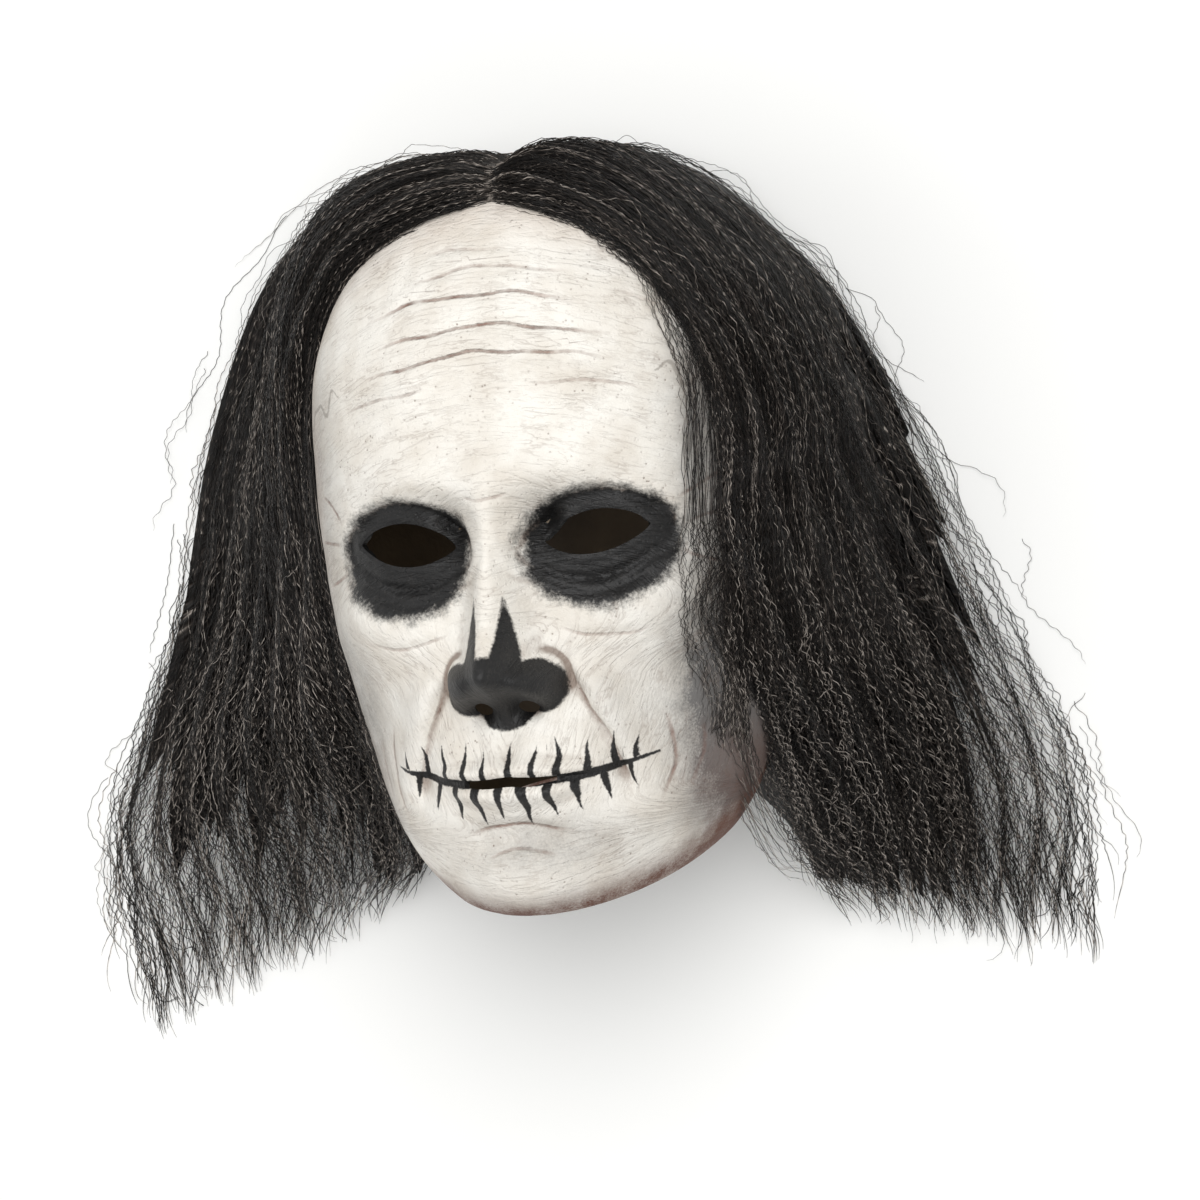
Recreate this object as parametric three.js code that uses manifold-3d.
// A latex costume mask with long crimped hair, lying on its back with the face up.
// Millimetres, +Z up out of the face, +Y towards the crown, +X to the right of someone who looks at the face.
// The mask is one hollow skin of latex that covers the whole head down to the jaw. Its face is painted
// as a skull.
// The hair is parted in the middle: one panel of hair falls to each side and fans out on the ground.

import * as THREE from "three";
import { mergeVertices } from "three/addons/utils/BufferGeometryUtils.js";
import Module from "manifold-3d";

const wasm = await Module();
wasm.setup();

// Driving dimensions
const WALL = 2.6; // thickness of the latex
const HAIR_UNDER_HEAD = 10; // hair pressed flat between the back of the head and the ground
const BACK_DEPTH = 78; // from the head's long axis to the back of the head
const AXIS_HEIGHT = HAIR_UNDER_HEAD + BACK_DEPTH; // the head's long axis above the ground
const GAP = 0.35; // between the latex and the hair, and between the two panels of hair

const EYE = { x: 34, y: -1, halfWidth: 18, rise: 8.2, drop: 6.6, slant: 1.5 };
const MOUTH = { y: -83, halfWidth: 20, halfHeight: 2.3 };
const NOSTRIL = { x: 7.6, y: -57, radius: 2.9, tilt: 0.75 };
// The open lower edge runs from under the chin to the nape.
const NECK = { napeY: -97, napeZ: -62, chinY: -128, chinZ: 62 };

// The latex is drawn on rows and columns that stand closest together on the face.
const FACE_GRID = { columns: 44, rows: 36, columnDensity: 0.7, rowDensity: 0.6, rowCentre: 0.54 };
// The hollow that the head leaves in the hair needs no such detail.
const SIDE_GRID = { columns: 32, rows: 24, columnDensity: 0, rowDensity: 0, rowCentre: 0.5 };
const SIDE_SAG = 0.8; // how far the plainer rows and columns cut the head's corners

// The hair: each panel starts at its hairline on the latex and ends at its toe on the ground.
const HAIRLINE = { topY: 109, endY: -112, sink: 5 };
const HAIR_RISE = { out: 34, up: 12 }; // how the hair leaves the hairline
const CROWN = { toeY: 133, height: 119 }; // the hair falls steeply behind the crown
const NAPE_Y = -96;
const LOCKS = { count: 8, depth: 2.6, sway: 0.9, ragged: 0.05 };
const HEM_FALL = { from: 0.72, share: 0.6 }; // how far the hair sinks to the ground towards its hem
const HAIR_STEPS = { across: 22, along: 21 };
const PANELS = [
  {
    name: "hair_left",
    side: -1,
    hairlineAngle: 74,
    jawAngle: 62,
    toe: [[78, 133], [130, 110], [167, 47], [190, -31], [223, -119], [214, -183]],
    hemCorner: [82, -131, 66],
    napeCorner: [58, -114],
    flare: { from: 0.05, to: 0.45, reach: 46, height: 16 },
  },
  {
    name: "hair_right",
    side: 1,
    hairlineAngle: 52.5,
    jawAngle: 62,
    toe: [[31, 131], [79, 90], [101, 50], [125, 0], [151, -62], [170, -119], [167, -168]],
    hemCorner: [64, -144, 72],
    napeCorner: [52, -110],
    flare: { from: 0.3, to: 0.75, reach: 40, height: 18 },
  },
];

// The head without its features: sections from the crown down to the chin, around the long axis.
// Each is [height, half width, front, back, centre].
const SECTIONS = [
  [128, 0, -4, -4, -4],
  [124, 32, 34, -36, -4],
  [110, 54, 60, -56, -2],
  [88, 71, 76, -70, 0],
  [58, 83, 85, -77, 0],
  [22, 86, 88, -BACK_DEPTH, 0],
  [-16, 83, 85, -BACK_DEPTH, 0],
  [-52, 77, 84, -76, 2],
  [-84, 69, 83, -70, 4],
  [-108, 57, 82, -56, 10],
  [-124, 41, 77, -30, 22],
  [-132, 23, 66, 14, 38],
  [-134, 0, 48, 48, 48],
];
const FRONT_ROUNDNESS = 2.25; // 2 is an ellipse, and more is squarer
const BACK_ROUNDNESS = 2.4;

// Small helpers
const smooth = (from, to, value) => {
  const t = THREE.MathUtils.clamp((value - from) / (to - from), 0, 1);
  return t * t * (3 - 2 * t);
};
const bell = (distance) => Math.exp(-distance * distance);
const dome = (x, y, cx, cy, sx, sy) => bell((x - cx) / sx) * bell((y - cy) / sy);
const pair = (x, y, cx, cy, sx, sy) => dome(x, y, cx, cy, sx, sy) + dome(x, y, -cx, cy, sx, sy);

// A smooth value between the sections; beyond each pole stands the mirror of the section before it.
function sectionAt(v) {
  const last = SECTIONS.length - 1;
  const s = THREE.MathUtils.clamp(v, 0, 1) * last;
  const i = Math.min(Math.floor(s), last - 1);
  const mirrored = (row) => [row[0], -row[1], row[3], row[2], row[4]];
  const row = (k) => (k < 0 ? mirrored(SECTIONS[1]) : k > last ? mirrored(SECTIONS[last - 1]) : SECTIONS[k]);
  const [p0, p1, p2, p3] = [row(i - 1), row(i), row(i + 1), row(i + 2)];
  const f = s - i;
  return p1.map((_, k) => {
    const slope = p2[k] - p0[k];
    const curve = 2 * p0[k] - 5 * p1[k] + 4 * p2[k] - p3[k];
    const twist = 3 * p1[k] - p0[k] - 3 * p2[k] + p3[k];
    return 0.5 * (2 * p1[k] + f * (slope + f * (curve + f * twist)));
  });
}

function barePoint(v, angle) {
  const [y, width, front, back, centre] = sectionAt(v);
  if (v <= 0 || v >= 1) return new THREE.Vector3(0, y, centre);
  const forward = Math.cos(angle) > 0;
  const reach = Math.max(forward ? front - centre : centre - back, 1e-3);
  const n = forward ? FRONT_ROUNDNESS : BACK_ROUNDNESS;
  const across = Math.abs(Math.sin(angle)) / Math.max(width, 1e-3);
  const along = Math.abs(Math.cos(angle)) / reach;
  const radius = (across ** n + along ** n) ** (-1 / n);
  return new THREE.Vector3(radius * Math.sin(angle), y, centre + radius * Math.cos(angle));
}

// How far each part of the face stands out of the bare head, or sinks into it.
function browAndSockets(x, y) {
  const archedY = 22 - 0.004 * (Math.abs(x) - 25) ** 2;
  return (
    6 * pair(x, y, 30, archedY, 22, 8.5) +
    3 * dome(x, y, 0, 24, 12, 12) -
    14 * pair(x, y, 32, 2, 20, 13) -
    7 * pair(x, y, 16, 4, 6, 9) +
    9.5 * pair(x, y, 35, -1, 15, 9) -
    2.2 * pair(x, y, 38, -17, 16, 4.5)
  );
}

function skullForm(x, y) {
  return (
    2.5 * pair(x, y, 27, 56, 20, 20) -
    6 * pair(x, y, 76, 28, 18, 26) +
    8 * pair(x, y, 53, -26, 19, 13) -
    7 * pair(x, y, 57, -66, 17, 22) +
    8 * dome(x, y, 0, -82, 29, 23) +
    9 * dome(x, y, 0, -120, 20, 13) -
    5 * dome(x, y, 0, -102, 19, 6)
  );
}

function lips(x, y) {
  const ax = Math.abs(x);
  const parting = MOUTH.y + 0.8 * bell(ax / 6) + 0.0015 * ax * ax;
  const upper = parting + 6.4 + 1.6 * bell((ax - 6) / 3.5) - 1.2 * bell(ax / 3) - 0.004 * ax * ax;
  const lower = parting - 7.6 + 0.006 * ax * ax;
  const roll = (edge) => {
    const across = (y - 0.5 * (parting + edge)) / (0.62 * (edge - parting));
    return Math.exp(-(Math.abs(across) ** 2.6));
  };
  return (
    4.6 * roll(upper) * (1 - smooth(21, 31, ax)) +
    5.6 * roll(lower) * (1 - smooth(16, 29, ax)) -
    2 * pair(x, y, 33.5, -83, 6, 6)
  );
}

function cheekFolds(x, y) {
  const t = THREE.MathUtils.clamp((-46 - y) / 44, 0, 1);
  const foldX = 21 + 21 * t ** 1.1 - 5 * t ** 3;
  const stretch = smooth(-42, -52, y) * (1 - smooth(-80, -98, y));
  const away = Math.abs(x) - foldX;
  return (3 * bell((away - 9) / 8) - 2.4 * bell(away / 3.4)) * stretch;
}

function nose(x, y) {
  const t = (19 - y) / 64;
  const bridge = (4 + 22 * THREE.MathUtils.clamp(t, 0, 1) ** 1.1) * smooth(27, 8, y);
  const underside = y > -44 ? 1 : Math.exp(-(Math.abs((y + 44) / 11.5) ** 2.6));
  const width = 7 + 3.6 * smooth(0.3, 0.95, t);
  const wing = Math.hypot((Math.abs(x) - 13.5) / 6.6, (y + 49) / 7.6);
  return (
    bridge * underside * Math.exp(-(Math.abs(x / width) ** 2.2)) +
    4.5 * dome(x, y, 0, -44, 8.5, 8) +
    13.5 * Math.exp(-(wing ** 2.8))
  );
}

function headPoint(v, angle) {
  const p = barePoint(v, angle);
  const onFace = smooth(5, 45, p.z);
  const forms = [browAndSockets, skullForm, lips, cheekFolds, nose];
  const relief = forms.reduce((sum, form) => sum + form(p.x, p.y), 0);
  p.z += relief * onFace;
  return p;
}

// Solids
function toSolid(geometry) {
  const bare = geometry.index ? geometry.toNonIndexed() : geometry;
  const positions = new THREE.BufferGeometry().setAttribute("position", bare.getAttribute("position"));
  const merged = mergeVertices(positions, 1e-3);
  return new wasm.Manifold(
    new wasm.Mesh({
      numProp: 3,
      vertProperties: new Float32Array(merged.attributes.position.array),
      triVerts: new Uint32Array(merged.index.array),
    }),
  );
}

function toGeometry(solid) {
  const mesh = solid.getMesh();
  const positions = new Float32Array(mesh.numVert * 3);
  for (let i = 0; i < mesh.numVert; i++) {
    positions.set(mesh.vertProperties.subarray(i * mesh.numProp, i * mesh.numProp + 3), i * 3);
  }
  const geometry = new THREE.BufferGeometry();
  geometry.setAttribute("position", new THREE.BufferAttribute(positions, 3));
  geometry.setIndex(new THREE.BufferAttribute(new Uint32Array(mesh.triVerts), 1));
  return geometry;
}

// The head's skin as a ball whose rows and columns are moved onto it, grown outwards by a distance.
function headBall(grow, grid) {
  const ball = new THREE.SphereGeometry(1, grid.columns, grid.rows);
  const place = ball.getAttribute("position");
  const centre = 2 * Math.PI * (grid.rowCentre - 0.5);
  for (let i = 0; i < place.count; i++) {
    const row = Math.floor(i / (grid.columns + 1));
    const s = (2 * (i % (grid.columns + 1))) / grid.columns - 1;
    const t = row / grid.rows;
    const angle = Math.PI * s - grid.columnDensity * Math.sin(Math.PI * s);
    const shifted = Math.sin(2 * Math.PI * t - centre) + Math.sin(centre);
    const v = t + (grid.rowDensity / (2 * Math.PI)) * shifted;
    const p = headPoint(v, angle);
    place.setXYZ(i, p.x, p.y, p.z + AXIS_HEIGHT);
  }
  ball.deleteAttribute("normal");
  ball.deleteAttribute("uv");
  const skin = mergeVertices(ball, 1e-3);
  skin.computeVertexNormals();
  const point = skin.getAttribute("position");
  const normal = skin.getAttribute("normal");
  for (let i = 0; i < point.count; i++) {
    point.setXYZ(
      i,
      point.getX(i) + grow * normal.getX(i),
      point.getY(i) + grow * normal.getY(i),
      point.getZ(i) + grow * normal.getZ(i),
    );
  }
  return skin;
}

// A flat outline pushed through the face from the hollow behind it to the air in front.
function faceCutter(shape) {
  const cutter = new THREE.ExtrudeGeometry(shape, { depth: 120, bevelEnabled: false, curveSegments: 7 });
  cutter.translate(0, 0, AXIS_HEIGHT + 25);
  return toSolid(cutter);
}

function eyeCutter(side) {
  const inner = new THREE.Vector2(side * (EYE.x - EYE.halfWidth), EYE.y - EYE.slant);
  const outer = new THREE.Vector2(side * (EYE.x + EYE.halfWidth), EYE.y + EYE.slant);
  const reach = EYE.halfWidth * 0.62;
  const shape = new THREE.Shape();
  shape.moveTo(inner.x, inner.y);
  shape.bezierCurveTo(
    side * (EYE.x - reach), EYE.y + EYE.rise * 1.3,
    side * (EYE.x + reach), EYE.y + EYE.rise * 1.35,
    outer.x, outer.y,
  );
  shape.bezierCurveTo(
    side * (EYE.x + reach), EYE.y - EYE.drop * 1.3,
    side * (EYE.x - reach), EYE.y - EYE.drop * 1.35,
    inner.x, inner.y,
  );
  return faceCutter(shape);
}

function mouthCutter() {
  const shape = new THREE.Shape();
  const bow = MOUTH.halfHeight * 1.6;
  shape.moveTo(-MOUTH.halfWidth, MOUTH.y + 0.6);
  shape.bezierCurveTo(-10, MOUTH.y + bow, 10, MOUTH.y + bow, MOUTH.halfWidth, MOUTH.y + 0.6);
  shape.bezierCurveTo(10, MOUTH.y - bow, -10, MOUTH.y - bow, -MOUTH.halfWidth, MOUTH.y + 0.6);
  return faceCutter(shape);
}

function nostrilCutter(side) {
  const hole = new THREE.CylinderGeometry(NOSTRIL.radius, NOSTRIL.radius, 24, 10);
  hole.rotateX(NOSTRIL.tilt);
  hole.translate(side * NOSTRIL.x, NOSTRIL.y, AXIS_HEIGHT + 101);
  return toSolid(hole);
}

// Everything below the open lower edge of the mask.
function belowNeck() {
  const length = 400;
  const slab = new THREE.BoxGeometry(length, length, length);
  slab.translate(0, -length / 2, 0);
  slab.rotateX(Math.atan2(NECK.chinY - NECK.napeY, NECK.chinZ - NECK.napeZ) * -1);
  slab.translate(0, NECK.napeY, NECK.napeZ + AXIS_HEIGHT);
  return toSolid(slab);
}

function latexSkin() {
  return [
    toSolid(headBall(-WALL, FACE_GRID)),
    belowNeck(),
    eyeCutter(-1),
    eyeCutter(1),
    mouthCutter(),
    nostrilCutter(-1),
    nostrilCutter(1),
  ].reduce((skin, cutter) => skin.subtract(cutter), toSolid(headBall(0, FACE_GRID)));
}

// The row of the head at a given height, found by halving.
function levelAt(y) {
  let [above, below] = [0, 1];
  for (let i = 0; i < 30; i++) {
    const middle = 0.5 * (above + below);
    if (sectionAt(middle)[0] > y) above = middle;
    else below = middle;
  }
  return 0.5 * (above + below);
}

// A point of the hairline: round the forehead for the first half, then down the cheek to the jaw.
function hairlinePoint(panel, t) {
  const turn = Math.PI * Math.min(t, 0.5);
  const down = Math.max(0, 2 * t - 1);
  const y = t < 0.5 ? HAIRLINE.topY * Math.cos(turn) ** (2 / 3) : HAIRLINE.endY * down;
  const upper = panel.hairlineAngle * Math.sin(turn);
  const degrees = THREE.MathUtils.lerp(upper, panel.jawAngle, smooth(0, 1, down));
  const p = headPoint(levelAt(y), panel.side * THREE.MathUtils.degToRad(degrees));
  const inward = p.clone().setY(0).normalize().multiplyScalar(-HAIRLINE.sink);
  return p.add(inward).add(new THREE.Vector3(0, 0, AXIS_HEIGHT));
}

// The way that the hair takes at one place along a panel, from the hairline out to the ground.
function hairFall(panel, toes, t) {
  const loose = smooth(0.78, 1, t);
  const hem = new THREE.Vector3(panel.side * panel.hemCorner[0], panel.hemCorner[1], panel.hemCorner[2]);
  const start = hairlinePoint(panel, t).lerp(hem, loose);
  const ground = toes.getPoint(t);
  const out = ground.clone().sub(start).setZ(0).normalize();
  const spread = smooth(panel.flare.from, panel.flare.to, t);
  const leave = start.clone().addScaledVector(out, HAIR_RISE.out);
  leave.z += HAIR_RISE.up * (1 - 1.8 * loose);
  const land = ground.clone().addScaledVector(out, -panel.flare.reach * spread);
  land.z = THREE.MathUtils.lerp(CROWN.height, panel.flare.height, spread);
  return { curve: new THREE.CubicBezierCurve3(start, leave, land, ground), out };
}

// A point of the hair's surface: t along the panel, and u from the hairline to the ground. It is on a lock
// or between two.
function hairPoint(panel, toes, t, u) {
  const lock = Math.cos(2 * Math.PI * (LOCKS.count * u + LOCKS.sway * Math.sin(5 * t + 2 * u)));
  const hem = smooth(0.85, 1, t);
  const { curve, out } = hairFall(panel, toes, t - LOCKS.ragged * hem * (0.5 - 0.5 * lock));
  const tangent = curve.getTangent(u);
  const outward = new THREE.Vector3(-tangent.z * out.x, -tangent.z * out.y, tangent.dot(out)).normalize();
  const fade = smooth(0, 0.12, u) * smooth(1, 0.93, u) * smooth(0, 0.08, t);
  const p = curve.getPoint(u).addScaledVector(outward, LOCKS.depth * lock * fade);
  p.z = Math.max(p.z * (1 - HEM_FALL.share * smooth(HEM_FALL.from, 1, t)), 0);
  return p;
}

// The middle of the ground under the head, from the crown to the nape, and then the side of the open neck.
function underHead(panel, t) {
  const y = THREE.MathUtils.lerp(CROWN.toeY - 14, NAPE_Y, Math.min(1, t / 0.8));
  const middle = new THREE.Vector3((panel.side * GAP) / 2, y, 0);
  const corner = new THREE.Vector3(panel.side * panel.napeCorner[0], panel.napeCorner[1], 0);
  return middle.lerp(corner, smooth(0.74, 1, t));
}

// Closes a tube of rings at both ends.
function closeLoft(loft, around, along) {
  const place = loft.getAttribute("position");
  const faces = Array.from(loft.index.array);
  for (const row of [0, along]) {
    const ring = Array.from({ length: around }, (_, k) => row * (around + 1) + k);
    const flat = ring.map((i) => new THREE.Vector2(row === 0 ? place.getY(i) : place.getX(i), place.getZ(i)));
    const forward = (corners) => THREE.ShapeUtils.area(corners) > 0;
    for (const [a, b, c] of THREE.ShapeUtils.triangulateShape([...flat], [])) {
      const along = forward([flat[a], flat[b], flat[c]]) === forward(flat);
      const [second, third] = along === (row === 0) ? [b, c] : [c, b];
      faces.push(ring[a], ring[second], ring[third]);
    }
  }
  loft.setIndex(faces);
  return loft;
}

// A panel is a loft through its cross-sections, with a cap on either end.
function hairPanel(panel) {
  const toes = new THREE.CatmullRomCurve3(
    [[GAP / 2, CROWN.toeY], ...panel.toe].map(([x, y]) => new THREE.Vector3(panel.side * x, y, 0)),
    false,
    "centripetal",
  );
  const around = HAIR_STEPS.across + 2;
  const loft = new THREE.CylinderGeometry(1, 1, 1, around, HAIR_STEPS.along, true);
  const place = loft.getAttribute("position");
  for (let i = 0; i < place.count; i++) {
    const t = Math.floor(i / (around + 1)) / HAIR_STEPS.along;
    const turn = (i % (around + 1)) % around;
    const k = panel.side > 0 ? turn : around - 1 - turn;
    const onHair = k <= HAIR_STEPS.across;
    const p = onHair ? hairPoint(panel, toes, t, k / HAIR_STEPS.across) : underHead(panel, t);
    place.setXYZ(i, t === 0 ? (panel.side * GAP) / 2 : p.x, p.y, p.z);
  }
  return closeLoft(loft, around, HAIR_STEPS.along);
}

const painted = new THREE.MeshStandardMaterial({ color: 0xe4ded2, roughness: 0.6, metalness: 0 });
const hair = new THREE.MeshStandardMaterial({ color: 0x2a2727, roughness: 0.55, metalness: 0 });
const mask = new THREE.Group();

function addPiece(name, solid, material) {
  const piece = new THREE.Mesh(toGeometry(solid), material);
  piece.name = name;
  mask.add(piece);
}

addPiece("latex_mask", latexSkin(), painted);
const hollow = toSolid(headBall(GAP + SIDE_SAG, SIDE_GRID));
for (const panel of PANELS) {
  addPiece(panel.name, toSolid(hairPanel(panel)).subtract(hollow), hair);
}

// The origin is on the ground, under the middle of the whole object.
const middle = new THREE.Box3().setFromObject(mask).getCenter(new THREE.Vector3());
mask.position.set(-middle.x, -middle.y, 0);

export default mask;
